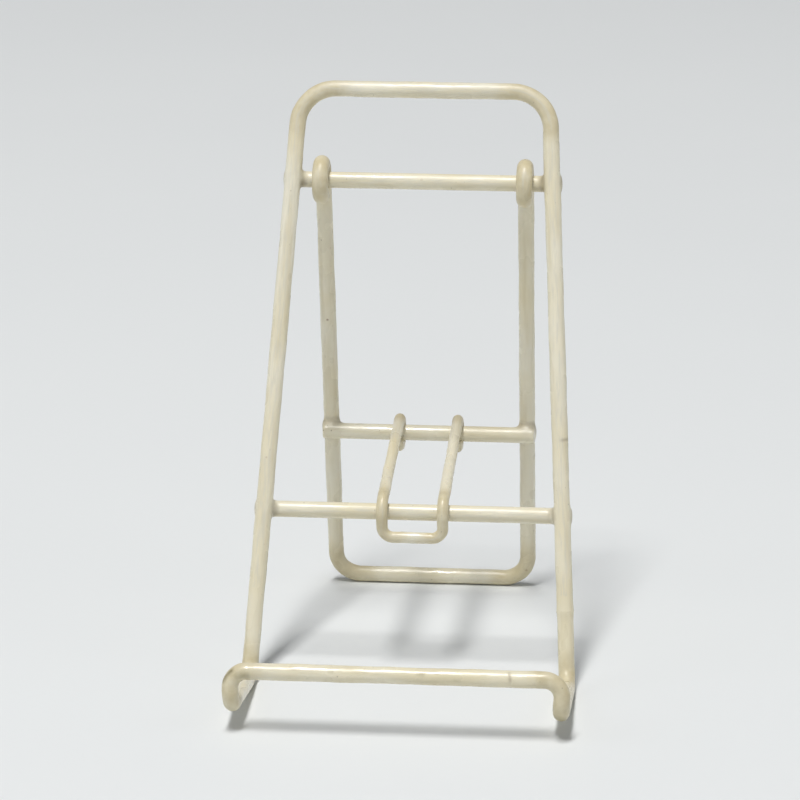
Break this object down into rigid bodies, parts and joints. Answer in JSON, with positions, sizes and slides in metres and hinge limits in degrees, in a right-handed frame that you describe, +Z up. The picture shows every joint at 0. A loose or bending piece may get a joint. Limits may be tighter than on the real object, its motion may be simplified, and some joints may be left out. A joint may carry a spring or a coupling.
{
  "type": "plate display stand",
  "caption": "Fold-flat wire easel for one plate: a low lip and two arms at the front, a leaning frame, and a hinged rear leg held by a hooked stay.",
  "frame": {"origin": "on the table, under the middle of the open stand's box", "axes": "+Z up; -Y is the front, where the lip is; X runs along the lip, with +X to the right as seen from the front"},
  "size_m": [0.0884, 0.124, 0.15],
  "materials": {
    "ivory_vinyl": "satin ivory PVC skin, yellowed and scuffed",
    "steel_core": "drawn mild steel wire"
  },
  "bodies": {
    "front_frame": {"front_frame_coating": "ivory_vinyl", "front_loop_wire": "steel_core", "upper_crossbar_wire": "steel_core", "lower_crossbar_wire": "steel_core"},
    "rear_leg": {"rear_leg_coating": "ivory_vinyl", "rear_leg_wire": "steel_core", "rear_crossbar_wire": "steel_core"},
    "stay": {"stay_coating": "ivory_vinyl", "stay_wire": "steel_core"}
  },
  "joints": [
    {"name": "leg_hinge", "type": "hinge", "parent": "front_frame", "child": "rear_leg", "pos_m": [0, 0.02491, 0.12429], "axis": [-1, 0, 0], "range_deg": [0, 33.7]},
    {"name": "stay_hinge", "type": "hinge", "parent": "rear_leg", "child": "stay", "pos_m": [0, 0.04529, 0.04853], "axis": [-1, 0, 0], "range_deg": [0, 83]}
  ]
}
